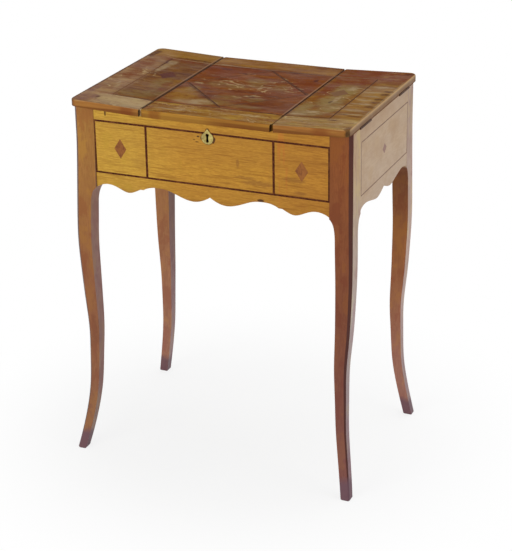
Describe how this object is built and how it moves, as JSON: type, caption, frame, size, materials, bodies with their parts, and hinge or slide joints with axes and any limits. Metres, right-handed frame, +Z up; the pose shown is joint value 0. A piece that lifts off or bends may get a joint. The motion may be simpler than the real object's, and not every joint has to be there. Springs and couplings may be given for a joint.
{
  "type": "dressing table",
  "caption": "Small dressing table on cabriole legs, with side lids that fold outwards, a locking centre lid backed by a mirror, wells beneath, line inlay and a scalloped apron.",
  "frame": {"origin": "on the floor, at the middle of the table's overall length and depth", "axes": "+X to the sitter's right, +Y to the back, +Z up"},
  "size_m": [0.5716, 0.4006, 0.7149],
  "materials": {
    "frieze_wood": "waxed golden fruitwood",
    "leg_wood": "waxed reddish fruitwood",
    "side_wood": "waxed fruitwood",
    "back_wood": "waxed fruitwood",
    "lid_wood": "worn varnish",
    "inner_wood": "bare softwood",
    "bead_wood": "waxed",
    "dark_wood": "dark stained stringing",
    "red_wood": "waxed",
    "brass": "worn",
    "iron": "dull iron",
    "hinge_iron": "dark iron",
    "mirror": "old silvered glass"
  },
  "bodies": {
    "case": {"leg_front_left": "leg_wood", "leg_front_right": "leg_wood", "leg_rear_left": "leg_wood", "leg_rear_right": "leg_wood", "front_panel": "frieze_wood", "back_panel": "back_wood", "side_panel_left": "side_wood", "side_panel_right": "side_wood", "bottom_board": "inner_wood", "cleat_front": "inner_wood", "cleat_back": "inner_wood", "cleat_left": "inner_wood", "cleat_right": "inner_wood", "partition_left": "inner_wood", "partition_right": "inner_wood", "front_stringing": "dark_wood", "front_lozenges": "red_wood", "side_stringing_left": "dark_wood", "side_stringing_right": "dark_wood", "side_lozenge_left": "red_wood", "side_lozenge_right": "red_wood", "escutcheon": "brass", "lock_case": "iron", "lock_face_plate": "brass", "left_hinge_case_leaves": "hinge_iron", "right_hinge_case_leaves": "hinge_iron", "centre_hinge_case_leaves": "hinge_iron"},
    "lock_bolt": {"lock_bolt": "iron"},
    "left_lid": {"lid_left": "lid_wood", "lid_left_stringing": "dark_wood", "lid_left_lozenge": "red_wood", "left_hinge_lid_leaves": "hinge_iron"},
    "right_lid": {"lid_right": "lid_wood", "lid_right_stringing": "dark_wood", "lid_right_lozenge": "red_wood", "right_hinge_lid_leaves": "hinge_iron"},
    "centre_lid": {"lid_centre": "lid_wood", "lid_centre_stringing": "dark_wood", "mirror_glass": "mirror", "mirror_bead": "bead_wood", "link_plate": "iron", "centre_hinge_lid_leaves": "hinge_iron"}
  },
  "joints": [
    {"name": "left_lid_hinge", "type": "hinge", "parent": "case", "child": "left_lid", "pos_m": [-0.2733, 0.00775, 0.70185], "axis": [0, -1, 0], "range_deg": [0, 182]},
    {"name": "right_lid_hinge", "type": "hinge", "parent": "case", "child": "right_lid", "pos_m": [0.2733, 0.00775, 0.70185], "axis": [0, 1, 0], "range_deg": [0, 182]},
    {"name": "centre_lid_hinge", "type": "hinge", "parent": "case", "child": "centre_lid", "pos_m": [0, 0.18205, 0.6942], "axis": [-1, 0, 0], "range_deg": [0, 98]},
    {"name": "lock_bolt_slide", "type": "slide", "parent": "case", "child": "lock_bolt", "axis": [1, 0, 0], "range_m": [0, 0.008]}
  ]
}
